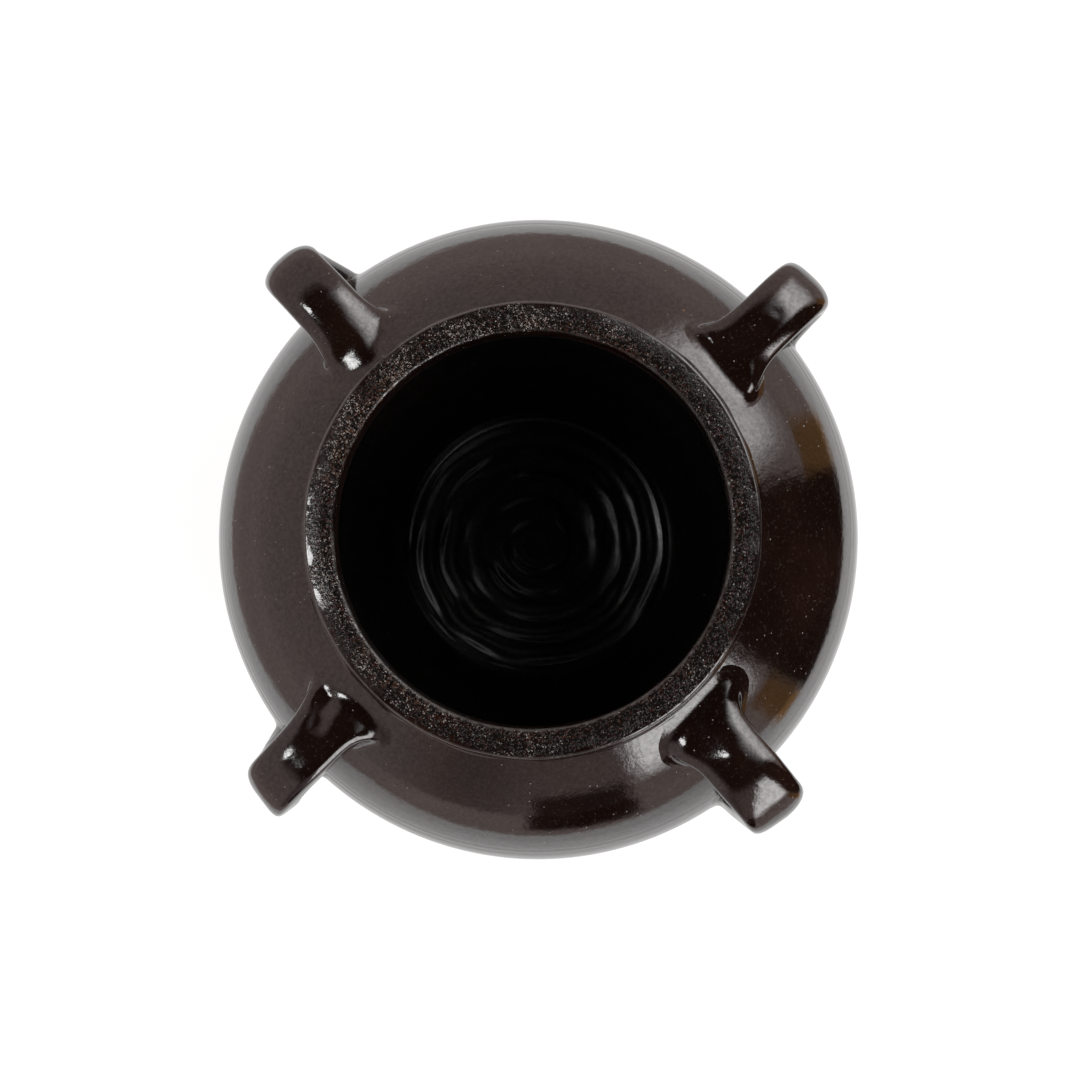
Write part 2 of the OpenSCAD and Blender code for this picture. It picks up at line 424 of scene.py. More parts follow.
def lip_material():
    """Sandy lip: gritty clay under a thin, broken glaze, which thickens to the full glaze off its crown.

    The attribute "zones" gives the share of grit, the share of the pale edge lines, which are thin glaze
    with a painted reflection, and the way across the crown. Towards the left, where the lamps fall on it,
    the lip is painted lighter: browner, and with more pale flecks as painted glints."""
    material, n = new_material("rough_lip")
    place = n.place()
    smooth_color, smooth_rough, smooth_normal, shine = glaze_shader(n, place)
    zones = n.add("ShaderNodeAttribute", attribute_name="zones").outputs["Vector"]
    share, edge, across = n.add("ShaderNodeSeparateXYZ", {0: zones}).outputs
    wander = n.add("ShaderNodeTexNoise", {"Vector": place, "Scale": LIP_BENDS, "Detail": 2.0})
    bent = n.add("ShaderNodeVectorMath", {0: wander.outputs["Color"], 1: (BEND, BEND, BEND), 2: place},
                 operation="MULTIPLY_ADD").outputs[0]
    off_middle, grain = n.cells(bent, LIP_GRAINS)
    fleck = n.cells(bent, LIP_FLECKS)[1]
    right, up, _ = image_parts(n, place)
    toward_lit_side = n.math("SUBTRACT", n.times(up, 0.3), right)
    worn_and_lit = n.times(n.ramp(n.noise(place, LIP_WORN_PLACES), 0.40, 0.64), n.ramp(across, 0.35, 0.8))
    # Painted light: the worn brown is made up to five times stronger towards the left, as a painted lighter
    # side where the lamps fall
    worn_and_lit = n.times(n.math("ADD", 0.10, worn_and_lit), n.ramp(toward_lit_side, -0.05, 0.06, 0.5, 2.6))
    color = n.mix(n.times(n.ramp(grain[0], 0.35, 0.95), worn_and_lit), LIP_DARK, LIP_BROWN)
    crowd = n.ramp(n.noise(place, LIP_CROWDS), 0.42, 0.66, 0.015, 0.12)
    # Painted glints: pale flecks crowd up to eight times more towards the lit left side
    crowd = n.times(crowd, n.ramp(toward_lit_side, -0.05, 0.06, 0.25, 2.0))
    color = n.mix(n.math("LESS_THAN", fleck[1], crowd), color, LIP_PALE)
    color = n.mix(n.math("GREATER_THAN", fleck[2], 0.94), color, LIP_RED)
    color = n.mix(n.ramp(n.noise(place, LIP_DARK_PLACES), 0.46, 0.62), color, LIP_DARK)
    rough = n.ramp(grain[2], 0.1, 0.9, 0.07, 0.18)
    grit = n.times(n.ramp(off_middle, 0.0, 0.6, 1.0, 0.0), grain[0])
    fine = n.noise(place, LIP_FINE_GRIT, 2.0, 0.6)
    normal = n.bump(n.times(grit, share), GRIT_H, 0.9, smooth_normal)
    normal = n.bump(n.times(fine, share), FINE_GRIT_H, 0.6, normal)
    rough = n.math("ADD", n.times(rough, share), n.times(smooth_rough, n.rest(share)))
    shine = n.times(shine, n.ramp(share, 0.0, 1.0, 1.0, GRIT_SHINE))
    # Painted reflection: the pale edge lines take their grey here
    color = n.mix(edge, n.mix(share, smooth_color, color), LIP_THIN_EDGE_REFLECTION)
    glazed_surface(n, color, rough, normal, shine)
    return material


CLAY = (0.085, 0.060, 0.045, 1.0)
CLAY_DARK = (0.042, 0.028, 0.021, 1.0)
CLAY_IOR = 1.5

# Scales of the bare clay's patterns, per metre, and the height of its grain in metres
CLAY_CLOUDS = 60.0
CLAY_SPECKS = 700.0
CLAY_GRAIN = 1500.0
CLAY_GRAIN_H = 0.00012


def bare_clay_material():
    """Unglazed base, cut from the wheel with a wire."""
    material, n = new_material("bare_clay")
    place = n.place()
    color = n.mix(n.ramp(n.noise(place, CLAY_CLOUDS, 4.0, 0.6), 0.3, 0.7), CLAY_DARK, CLAY)
    color = n.mix(n.times(n.specks(place, CLAY_SPECKS, 0.25, 0.2), 0.5), color, LIP_PALE)
    grain = n.noise(place, CLAY_GRAIN, 3.0, 0.65)
    shader = n.add("ShaderNodeBsdfPrincipled", {
        "Base Color": color, "Roughness": n.ramp(grain, 0.2, 0.8, 0.6, 0.85), "IOR": CLAY_IOR,
        "Normal": n.bump(grain, CLAY_GRAIN_H, 0.7)})
    n.surface(shader.outputs[0])
    return material


glaze = glaze_material("glaze", 0.0, 0.0)
inner_glaze_painted_shade = glaze_material("inner_glaze_painted_shade", INNER_ROUGH, INNER_PAINTED_SHADE)
rough_lip = lip_material()
bare_clay = bare_clay_material()


# Body, in millimetres

COLUMNS = 400
ANGLES = np.linspace(0, 2 * math.pi, COLUMNS, endpoint=False)
TURNS = ANGLES / (2 * math.pi)
STEP = 1.0
SHOULDER_STEP = 0.7

# The wall's slow wobble, and how far its skin lies inside the solids
WOBBLE = 0.10 * np.sin(2 * ANGLES + 0.6) + 0.06 * np.sin(3 * ANGLES + 2.1)
SKIN = 0.16

# Pitch and height of each of the throwing lines that add up on the wall
THROWING_LINES = ((13.0, 0.034), (7.1, 0.022), (3.9, 0.008), (2.3, 0.004))

# Two faint ring lines: height, depth and phase of each
RING_LINES = ((SEAM_Z, 0.10, 0.4), (SEAM_Z - 3.6, 0.13, 1.5))
RING_LINE_W = 0.8

# How far the inside of the floor lies off the axis
FLOOR_SLIP = np.array([-1.0, 3.2])

outer_touch = cone_touch(BELLY_R, BASE_R, 0.0)
inner_touch = cone_touch(INNER_R, FLOOR_R, FLOOR_T)


def on_curve(radius, angle):
    return CURVE_X + radius * math.cos(angle), BELLY_H + radius * math.sin(angle)


def angle_at(radius, z):
    return math.asin((z - BELLY_H) / radius)


def upper_z(x):
    """Height of the shoulder's outside at a distance from the axis."""
    return BELLY_H + math.sqrt(BELLY_R**2 - (x - CURVE_X) ** 2)


def cone_at(z):
    """Distance from the axis of the outer cone below the belly."""
    top_x, top_z = on_curve(BELLY_R, -outer_touch)
    return BASE_R + (top_x - BASE_R) * z / top_z


def throwing_lines(along, seed):
    """Shallow spiral lines left by the potter's fingers, for distances along a profile."""
    rng = np.random.default_rng(seed)
    s = along[:, None]
    total = np.zeros((len(along), COLUMNS))
    for pitch, height in THROWING_LINES:
        shift = rng.uniform(0, 1)
        drift = 0.5 * np.sin(ANGLES * rng.integers(1, 4) + rng.uniform(0, 6.28))
        uneven = 0.7 + 0.3 * np.sin(ANGLES * rng.integers(1, 3) + s / 17.0 + rng.uniform(0, 6.28))
        total += height * uneven * np.sin(2 * math.pi * (s / pitch + TURNS + shift) + drift)
    return total


def outer_heights(points):
    """Throwing lines are plainer on the lower wall than on the smoothed shoulder."""
    return 0.55 + 1.0 * (1 - smooth_step(points[:, 1], 55.0, 110.0))


def inner_heights(points):
    return np.full(len(points), 2.6)


class Surface:
    """One side of the whole wall, turned round the axis with its throwing lines.

    Each course takes its rows from it. The slip moves its foot off the axis, and fades up to the belly."""

    def __init__(self, runs, seed, heights, slip=np.zeros(2)):
        points, marks = chained(*runs)
        self.marks = [0] + marks + [len(points) - 1]
        along = path_length(points)
        ahead = np.gradient(points, along, axis=0)
        ahead /= np.linalg.norm(ahead, axis=1)[:, None]
        out = np.stack([ahead[:, 1], -ahead[:, 0]], 1)
        amount = throwing_lines(along, seed) * heights(points)[:, None]
        amount += WOBBLE - SKIN
        for ring_z, depth, phase in RING_LINES:
            waver = 0.6 + 0.4 * np.sin(ANGLES * 2 + phase)
            amount -= depth * np.exp(-(((points[:, 1] - ring_z) / RING_LINE_W) ** 2))[:, None] * waver
        x = points[:, :1] + out[:, :1] * amount
        z = points[:, 1:] + out[:, 1:] * amount
        self.grid = turned(x, z, ANGLES)
        self.grid[..., :2] += slip * (1 - smooth_step(z, FLOOR_T, BELLY_H))[..., None]
        down = np.gradient(self.grid, axis=0)
        around = np.roll(self.grid, -1, 1) - np.roll(self.grid, 1, 1)
        normals = np.cross(around, down)
        self.normals = normals / np.linalg.norm(normals, axis=2)[..., None]

    def rows(self, first, last):
        """The points and normals between two of the marks."""
        part = slice(self.marks[first], self.marks[last] + 1)
        return self.grid[part], self.normals[part]


outside = Surface([
    straight_points((BASE_R, 0.0), (cone_at(FLOOR_T), FLOOR_T), STEP),
    straight_points((cone_at(FLOOR_T), FLOOR_T), on_curve(BELLY_R, -outer_touch), STEP),
    curve_points(BELLY_R, -outer_touch, angle_at(BELLY_R, SEAM_Z), STEP),
    curve_points(BELLY_R, angle_at(BELLY_R, SEAM_Z), angle_at(BELLY_R, SEAT_Z), SHOULDER_STEP),
], 3, outer_heights)
mouth_angle = math.acos((MOUTH_R - CURVE_X) / INNER_R)
inside = Surface([
    straight_points((MOUTH_R, SEAT_Z), on_curve(INNER_R, mouth_angle), STEP),
    curve_points(INNER_R, mouth_angle, angle_at(INNER_R, SEAM_Z), STEP),
    curve_points(INNER_R, angle_at(INNER_R, SEAM_Z), -inner_touch, STEP),
    straight_points(on_curve(INNER_R, -inner_touch), (FLOOR_R, FLOOR_T), STEP),
], 8, inner_heights, FLOOR_SLIP)


def between(start, end, count):
    """Rows of points strictly between two rows."""
    t = np.linspace(0, 1, count + 2)[1:-1, None, None]
    return start * (1 - t) + end * t


def add_course(name, node, outer, inner):
    """A closed piece of wall from rows of the outside and the inside, joined by plain seams."""
    upper_seam = between(outer[0][-1], inner[0][0], 2)
    lower_seam = between(inner[0][-1], outer[0][0], 2)
    points = np.concatenate([outer[0], upper_seam, inner[0], lower_seam])
    faces = ring_faces(len(points), COLUMNS, True)
    normals = np.concatenate([outer[1], np.zeros_like(upper_seam), inner[1], np.zeros_like(lower_seam)])
    kind = np.zeros((len(points), COLUMNS), np.int32)
    first = len(outer[0]) + 2
    kind[first: first + len(inner[0]) - 1] = 1
    make_piece(name, points.reshape(-1, 3), faces, node, [glaze, inner_glaze_painted_shade],
               face_material=kind.ravel(), normals=normals.reshape(-1, 3))


# Rows of the floor's two sides, where its spiral's ridges cross one line out from the axis, and
# their height
FLOOR_ROWS = 120
UNDER_ROWS = 58
RIDGE_X = [0.0, 5.0, 11.7, 21.7, 29.0, 36.0, 43.7, 52.0]
RIDGE_H = 0.85

# Hollow under the base, and the wire's marks in it
HOLLOW = 0.12
WIRE_H = 0.10
WIRE_PITCH = 4.6


def add_floor():
    """Thick floor: a throwing spiral inside, with a button in its middle and a bead at the wall, and a
    wire-cut underside with a rounded foot."""
    x = FLOOR_R * (1 - np.linspace(0, 1, FLOOR_ROWS, endpoint=False))
    level = turned(x[:, None], np.zeros((FLOOR_ROWS, COLUMNS)), ANGLES)
    drift = Waves(71, 40.0).at(level)
    swing = Waves(72, 26.0).at(level)
    ridges = np.interp(x, RIDGE_X, np.arange(len(RIDGE_X)))[:, None]
    phase = ridges - TURNS + 0.07 * drift
    crest = (0.5 + 0.5 * np.cos(2 * math.pi * phase)) ** 2.2
    fade = smooth_step(x, 1.5, 6.0) * (1 - smooth_step(x, FLOOR_R - 3.5, FLOOR_R - 0.5))
    tall = np.clip(0.62 + 0.28 * swing, 0.12, 1.1)
    second = 0.08 * np.cos(2 * math.pi * (ridges * 2.0 - TURNS + 0.35 + 0.12 * swing))
    button = 0.5 * np.exp(-(x / 3.0) ** 2)
    bead = 0.4 * np.exp(-((x - FLOOR_R + 1.5) / 0.75) ** 2)
    z = FLOOR_T + fade[:, None] * (tall * crest + second + 0.08) * RIDGE_H + (button + bead)[:, None]
    top = turned(x[:, None], z, ANGLES)
    top[..., :2] += FLOOR_SLIP
    top[0] = inside.rows(3, 4)[0][-1]
    side = outside.rows(0, 1)[0]
    foot_x = BASE_R - np.array([1.4, 0.7, 0.25])
    foot_z = np.array([0.0, 0.1, 0.45])
    under_x = np.concatenate([np.linspace(0.0, foot_x[0], UNDER_ROWS + 2)[1:-1], foot_x])
    under_z = np.concatenate([np.zeros(UNDER_ROWS), foot_z])
    marks = under_x[:, None] / WIRE_PITCH + TURNS * 2 + 0.3 * np.sin(ANGLES)
    cut = WIRE_H * np.sin(2 * math.pi * marks)
    lift = (HOLLOW + cut) * smooth_step(BASE_R - under_x, 2.0, 6.0)[:, None] + under_z[:, None]
    under = turned(under_x[:, None], lift, ANGLES)
    seat = between(side[-1], top[0], 2)
    points = np.concatenate([under, side[1:], seat, top])
    flat = points.reshape(-1, 3)
    middle = np.array([[0, 0, HOLLOW], [*FLOOR_SLIP, z[-1].mean()]])
    quads = ring_faces(len(points), COLUMNS, False)
    j = np.arange(COLUMNS)
    j2 = (j + 1) % COLUMNS
    last = (len(points) - 1) * COLUMNS
    low_fan = np.stack([j2, j, np.full(COLUMNS, len(flat))], 1)
    high_fan = np.stack([last + j, last + j2, np.full(COLUMNS, len(flat) + 1)], 1)
    faces = quads.tolist() + low_fan.tolist() + high_fan.tolist()
    seat_row = len(under) + len(side) - 2
    kind = np.zeros(len(faces), np.int32)
    kind[: (len(under) - 1) * COLUMNS] = 1
    kind[len(quads): len(quads) + COLUMNS] = 1
    kind[(seat_row + len(seat)) * COLUMNS: len(quads)] = 2
    kind[len(quads) + COLUMNS:] = 2
    flags = np.zeros((len(points), COLUMNS), bool)
    flags[[seat_row, seat_row + len(seat) + 1]] = True
    sharp = np.concatenate([flags.ravel(), [False, False]])
    make_piece("floor_slab_thrown", np.concatenate([flat, middle]), faces,
               "floor_slab", [glaze, bare_clay, inner_glaze_painted_shade], face_material=kind, sharp=sharp)


COLLAR_COLUMNS = 1100

# Image bearing of the side where the lip is worn down, and how far it sags there
WORN_AT = math.radians(190.0)
WORN_SAG = 0.42


def collar_profile():
    """Points round the collar's section from the foot of its neck, the corners between its runs, and the
    two heights between which its sag sets in."""
    top = RIM_Z - 0.5
    edge_x = COLLAR_R + 0.2
    edge_z = top - 2.0
    edge_r = 1.0
    edge_slope = 9.0
    neck_x = COLLAR_R + 0.65
    corner_z = upper_z(neck_x)
    foot_x = neck_x + 1.0
    foot_z = upper_z(foot_x) - 0.3
    cove = bezier((foot_x, foot_z), (neck_x + 0.2, corner_z), (neck_x, corner_z + 0.2),
                  (neck_x, corner_z + 1.3), 9)
    neck = bezier(cove[-1], (neck_x - 0.1, corner_z + 4.0), (edge_x - 0.5, top - 4.2), (edge_x, edge_z), 10)
    outer_edge = arc((edge_x - edge_r, edge_z), edge_r, 0.0, 90.0 - edge_slope, 9)
    inner_r = 1.2
    inner_slope = 14.0
    crown_end = np.array([MOUTH_R + 1.4, top - 0.5])
    lean_out = np.array([-math.cos(math.radians(edge_slope)), math.sin(math.radians(edge_slope))])
    lean_in = np.array([math.cos(math.radians(inner_slope)), math.sin(math.radians(inner_slope))])
    crown_start = outer_edge[-1]
    crown = bezier(crown_start, crown_start + 2.4 * lean_out, crown_end + 2.2 * lean_in, crown_end, 24)
    inner_at = crown_end + inner_r * np.array([lean_in[1], -lean_in[0]])
    inner_edge = arc(inner_at, inner_r, 90.0 + inner_slope, 180.0, 9)
    inner_side = straight_points(inner_edge[-1], (MOUTH_R + 0.1, SEAT_Z - 0.3), 0.8)
    hidden = straight_points(inner_side[-1], (MOUTH_R + 5.0, SEAT_Z - 1.2), 2.0)
    under = straight_points(hidden[-1], cove[0], 2.0)
    profile, marks = chained(cove, neck, outer_edge, crown, inner_edge, inner_side, hidden, under)
    return profile, marks, corner_z + 1.5, edge_z


def add_collar():
    """Short neck with a tight glazed edge outside, a gritty arched crown and a soft inner edge."""
    profile, marks, sag_from, sag_to = collar_profile()
    along = path_length(profile)[:-1, None]
    profile = profile[:-1]
    crown_from, crown_to = along[marks[2], 0], along[marks[3], 0]
    angles = np.linspace(0, 2 * math.pi, COLLAR_COLUMNS, endpoint=False)
    bearings = angles + TURN
    ahead = np.roll(profile, -1, 0) - np.roll(profile, 1, 0)
    ahead /= np.linalg.norm(ahead, axis=1)[:, None]
    out = np.stack([ahead[:, 1], -ahead[:, 0]], 1)
    x = np.repeat(profile[:, :1], COLLAR_COLUMNS, 1)
    z = np.repeat(profile[:, 1:], COLLAR_COLUMNS, 1)
    at = turned(x, z, angles)
    swing = Waves(24, 12.0, 20).at(at)
    ragged = Waves(25, 2.4, 30).at(at)
    # The grit starts further in beside the right handle and on the worn side
    from_right = np.abs((angles + math.pi) % (2 * math.pi) - math.pi)
    worn_and_lit = np.exp(2.5 * (np.cos(bearings - WORN_AT) - 1))
    smooth_w = 0.35 + 1.0 * np.exp(-((from_right / 0.55) ** 2)) + 1.2 * worn_and_lit**3
    mask = smooth_step(along - crown_from - smooth_w + 0.5 * swing + 0.45 * ragged, -0.5, 0.5)
    mask = mask * (1 - smooth_step(along - crown_to - 0.9 + 0.4 * ragged, -0.4, 0.5))
    grit = np.abs(Waves(21, 0.85, 40).at(at))
    fine_grit = np.abs(Waves(22, 0.6, 40).at(at))
    rough = grit * 0.030 + fine_grit * 0.026 - 0.038
    visible = (np.arange(len(profile)) < marks[5])[:, None]
    amount = mask * rough + visible * (0.06 * Waves(23, 16.0, 16).at(at) - 0.08)
    across = np.clip((along - crown_from) / (crown_to - crown_from), 0, 1) + np.zeros_like(mask)
    sag = WORN_SAG * worn_and_lit * (1 - across) ** 2 * visible * smooth_step(z, sag_from, sag_to)
    points = turned(x + out[:, :1] * amount, z + out[:, 1:] * amount - sag, angles)
    flags = np.zeros((len(profile), COLLAR_COLUMNS), bool)
    flags[[0, marks[5], marks[6]]] = True
    faces = ring_faces(len(profile), COLLAR_COLUMNS, True)
    piece = make_piece("rim_collar_thrown", points.reshape(-1, 3), faces,
                       "rim_collar", [rough_lip], sharp=flags.ravel())
    # Painted reflection: pale lines along the crown's inner and outer edges, thin glaze made stronger on
    # the sides where the glaze shows bright reflections, most at the lower right inside and at the upper
    # left outside
    inner_line = smooth_step(along - crown_to + 0.25 * ragged, -0.2, 0.4)
    inner_line = inner_line * (1 - smooth_step(along - crown_to, 0.9, 1.9))
    inner_reflection_share = np.clip(0.55 + 0.6 * np.cos(bearings + math.pi / 3) + 0.15 * swing, 0.0, 1.0)
    outer_line = np.exp(-(((along - crown_from + 0.55) / 0.3) ** 2))
    outer_highlight_share = np.clip(0.7 + 0.5 * np.cos(bearings - 2.6) + 0.2 * swing, 0.1, 1.0)
    edge = inner_line * inner_reflection_share + outer_line * outer_highlight_share
    zones = np.stack([mask, edge, across], -1)
    layer = piece.data.attributes.new("zones", "FLOAT_VECTOR", "POINT")
    layer.data.foreach_set("vector", zones.ravel().astype(np.float32))


add_floor()
add_course("lower_bowl_thrown", "lower_bowl", outside.rows(1, 3), inside.rows(2, 4))
add_course("shoulder_dome_thrown", "shoulder_dome", outside.rows(3, 4), inside.rows(0, 2))
add_collar()


# Handles, in millimetres

STRAP_T = 11.0
ROOT_SWELL = 4.0
TIP_T = 0.6
TIP_LEAD = 6.0
ROOT_X = COLLAR_R - 2.0
END_Z = BELLY_H - 12.0
END_X = CURVE_X + math.sqrt(BELLY_R**2 - (END_Z - BELLY_H) ** 2) - STRAP_T / 2 - 3.0
LINE_SAMPLES = 49

# Heights of a strap's slow waves and ripples, and how far its skin lies inside the solid
WAVE_H = 0.10
RIPPLE_H = 0.018
STRAP_SKIN = 0.25

# Box that holds any handle on +X, and the cells in which its surface is looked for
NET_LOW = (62.0, -26.0, 66.0)
NET_HIGH = (118.0, 26.0, 150.0)
NET_CELL = 0.75


def strap_line(reach, drop, rise):
    """Control points of a strap's middle line in the plane of the axis."""
    root_z = SEAT_Z - drop
    tip_x = BODY_R + reach - STRAP_T / 2
    from_root = (1 - TIP_T) ** 3 * ROOT_X
    from_end = TIP_T**3 * END_X
    from_lead = 3 * (1 - TIP_T) ** 2 * TIP_T * TIP_LEAD
    pull_x = (tip_x - from_root - from_end + from_lead) / (3 * TIP_T * (1 - TIP_T))
    return np.array([
        (ROOT_X, root_z),
        (pull_x - TIP_LEAD, root_z + rise),
        (pull_x, END_Z + 0.93 * (root_z - END_Z)),
        (END_X, END_Z)])


def cubic(p, t):
    """Points and directions at t on the curve with control points p."""
    t = np.asarray(t)[..., None]
    u = 1 - t
    point = u**3 * p[0] + 3 * u * u * t * p[1] + 3 * u * t * t * p[2] + t**3 * p[3]
    way = 3 * u * u * (p[1] - p[0]) + 6 * u * t * (p[2] - p[1]) + 3 * t * t * (p[3] - p[2])
    return point, way


def wall_distance(points):
    """Signed distance from the outside of the shoulder, the belly and the collar."""
    rho = np.hypot(points[:, 0], points[:, 1])
    body = np.hypot(rho - CURVE_X, points[:, 2] - BELLY_H) - BELLY_R
    collar = np.maximum(rho - COLLAR_R, points[:, 2] - RIM_Z)
    return smooth_min(body, collar, 1.5)


def fading(x, half_at, length):
    """Falls from 1 to 0 as x grows, with half of it left at half_at."""
    return 1 / (1 + np.exp((x - half_at) / length))


class Strap:
    """Field of one hand-pulled strap and its thumbed roots, in a frame with the handle on +X.

    line: its reach, drop and rise.
    widths: of the strap and of its foot.
    shifts: how far the root, the tip and the foot lie to the side.
    flares: what widens the upper root on its -Y and +Y sides, each an extra width, the distance from
    the axis where half of it is left, and the length over which it fades.
    end: how near the axis the upper root comes, its skew and curve, and how far out its pad reaches.
    leans: of the upper root and of the strap, in degrees.
    powers: how square the sections are, in the pad and on the strap's -Y and +Y sides.
    dents: each a place, two radii and a depth, which is below 0 for a swelling."""

    def __init__(self, line, widths, shifts, flares, end, leans, powers, dents, seed):
        self.control = strap_line(*line)
        self.width, self.foot_width = widths
        self.root_shift, self.tip_shift, self.foot_shift = shifts
        self.flares = flares
        self.end_x, self.end_skew, self.end_curve, self.pad_x = end
        self.root_lean, self.lean = np.radians(leans)
        self.pad_power, self.near_power, self.far_power = powers
        self.dents = dents
        self.samples = np.linspace(0, 1, LINE_SAMPLES)
        self.line = cubic(self.control, self.samples)[0]
        self.waves = Waves(seed, 26.0)
        self.ripples = Waves(seed + 5, 9.0)

    def nearest(self, flat):
        """Where on the middle line points in its plane are nearest to it."""
        gap = ((flat[:, None, :] - self.line[None]) ** 2).sum(-1)
        t = self.samples[gap.argmin(1)]
        for _ in range(3):
            centre, way = cubic(self.control, t)
            slip = ((flat - centre) * way).sum(1) / (way**2).sum(1)
            t = np.clip(t + np.clip(slip, -0.015, 0.015), 0, 1)
        return t

    def strap_distance(self, points):
        """About the signed distance from the strap alone."""
        flat = points[:, [0, 2]]
        t = self.nearest(flat)
        centre, way = cubic(self.control, t)
        way = way / np.linalg.norm(way, axis=1)[:, None]
        off = flat - centre
        past_end = np.where((t <= 0) | (t >= 1), np.abs((off * way).sum(1)), -50.0)
        above = off[:, 1] * way[:, 0] - off[:, 0] * way[:, 1]
        early = 1 - smooth_step(t, 0.35, TIP_T)
        upper = early * fading(centre[:, 0], COLLAR_R + 12.0, 4.5)
        lower = 1 - smooth_step(1 - t, 0.05, 0.24)
        turn = np.sin(np.pi / 2 * np.clip(t / TIP_T, 0, 1))
        fall = smooth_step(t, TIP_T, 0.95)
        shift = self.root_shift + (self.tip_shift - self.root_shift) * turn
        across = points[:, 1] - shift - (self.foot_shift - self.tip_shift) * fall
        lean = self.lean + (self.root_lean - self.lean) * upper
        c, s = np.cos(lean), np.sin(lean)
        across, above = across * c + above * s, above * c - across * s
        near, far = [early * extra * fading(centre[:, 0], at, length) for extra, at, length in self.flares]
        half = 0.5 * (self.width + (self.foot_width - self.width) * lower) + np.where(across < 0, near, far)
        thick = np.where(above > 0, STRAP_T / 2, STRAP_T / 2 + ROOT_SWELL * (upper + lower))
        side = smooth_step(across, -2.0, 2.0)
        power = self.near_power + (self.far_power - self.near_power) * side
        power = power + (self.pad_power - power) * early * fading(centre[:, 0], self.pad_x, 1.2)
        a = np.abs(across) / half
        b = np.abs(above) / thick
        g = np.maximum((a**power + b**power) ** (1 / power), 1e-6)
        slope = np.hypot((a / g) ** (power - 1) / half, (b / g) ** (power - 1) / thick)
        distance = (g - 1) / np.maximum(slope, 1e-6)
        distance = np.maximum(distance, past_end - 0.6)
        beside = points[:, 1]
        beyond = self.end_x + self.end_skew * beside + self.end_curve * beside**2 - points[:, 0]
        distance = -smooth_min(-distance, -beyond, 7.0)
        for x, y, x_size, y_size, depth in self.dents:
            away = ((points[:, 0] - x) / x_size) ** 2 + ((points[:, 1] - y) / y_size) ** 2
            distance = distance + depth * np.exp(-away) * smooth_step(above, 0.0, 3.0)
        waves = WAVE_H * self.waves.at(points)
        ripples = RIPPLE_H * self.ripples.at(points)
        return distance + waves + ripples + STRAP_SKIN

    def field(self, points):
        """About the signed distance from the strap and the skin of wall round its roots."""
        strap = self.strap_distance(points)
        wall = wall_distance(points)
        soft = 1.8 + 1.2 * smooth_step(-points[:, 0], -(COLLAR_R + 14.0), -(COLLAR_R + 8.0))
        sunk = wall + 0.5 * smooth_step(strap, 0.6 * soft, 0.6 * soft + 4.0)
        joined = smooth_min(strap, sunk, soft)
        joined = np.maximum(joined, -(wall + 1.6))
        return np.maximum(joined, strap - 7.0)


def in_chunks(field, points, size=40000):
    return np.concatenate([field(points[i:i + size]) for i in range(0, len(points), size)])


def slope_of(field, points, step=0.05):
    """Gradient of a field by central differences."""
    parts = []
    for axis in range(3):
        shift = np.zeros(3)
        shift[axis] = step
        parts.append((in_chunks(field, points + shift) - in_chunks(field, points - shift)) / (2 * step))
    return np.stack(parts, 1)


def surface_net(field, low, high, cell):
    """Closed quad mesh of the surface where a field is zero, one point per cell that it crosses."""
    axes = [np.arange(a, b + cell, cell) for a, b in zip(low, high)]
    grid = np.stack(np.meshgrid(*axes, indexing="ij"), -1)
    shape = grid.shape[:3]
    value = in_chunks(field, grid.reshape(-1, 3)).reshape(shape)
    within = value < 0
    cells = tuple(size - 1 for size in shape)
    total = np.zeros(cells + (3,))
    count = np.zeros(cells)
    for axis in range(3):
        others = [k for k in range(3) if k != axis]
        near = [slice(None)] * 3
        far = [slice(None)] * 3
        near[axis], far[axis] = slice(None, -1), slice(1, None)
        a, b = value[tuple(near)], value[tuple(far)]
        cut = (a < 0) != (b < 0)
        share = np.where(cut, a / np.where(cut, a - b, 1), 0)
        at = grid[tuple(near)].copy()
        at[..., axis] += share * cell
        at *= cut[..., None]
        for i in (0, 1):
            for j in (0, 1):
                part = [slice(None)] * 3
                part[others[0]] = slice(i, shape[others[0]] - 1 + i)
                part[others[1]] = slice(j, shape[others[1]] - 1 + j)
                total += at[tuple(part)]
                count += cut[tuple(part)]
    used = count > 0
    number = np.full(cells, -1)
    number[used] = np.arange(used.sum())
    points = total[used] / count[used][:, None]
    quads = []
    for axis in range(3):
        u, v = (axis + 1) % 3, (axis + 2) % 3
        near = [slice(1, -1)] * 3
        far = [slice(1, -1)] * 3
        near[axis], far[axis] = slice(None, -1), slice(1, None)
        first, second = within[tuple(near)], within[tuple(far)]
        for flip, cut in ((False, first & ~second), (True, ~first & second)):
            spot = np.argwhere(cut)
            spot[:, u] += 1
            spot[:, v] += 1
            corner = []
            for du, dv in ((1, 1), (0, 1), (0, 0), (1, 0)):
                c = spot.copy()
                c[:, u] -= du
                c[:, v] -= dv
                corner.append(number[c[:, 0], c[:, 1], c[:, 2]])
            quad = np.stack(corner, 1)
            quads.append(quad[:, ::-1] if flip else quad)
    return points, np.concatenate(quads)


def add_handle(name, node, quarter, strap):
    """A handle from its field, with its points drawn onto the surface, then turned to its quarter."""
    cell = NET_CELL
    points, quads = surface_net(strap.field, NET_LOW, NET_HIGH, cell)
    for _ in range(4):
        slope = slope_of(strap.field, points)
        value = in_chunks(strap.field, points)
        move = value[:, None] * slope / np.maximum((slope**2).sum(1), 0.05)[:, None]
        points = points - np.clip(move, -0.4, 0.4)
    normals = slope_of(strap.field, points)
    normals /= np.maximum(np.linalg.norm(normals, axis=1), 1e-9)[:, None]
    c, s = round(math.cos(quarter * math.pi / 2)), round(math.sin(quarter * math.pi / 2))
    spin = np.array([[c, -s, 0], [s, c, 0], [0, 0, 1]])
    make_piece(name, points @ spin.T, quads, node, [glaze], normals=normals @ spin.T)


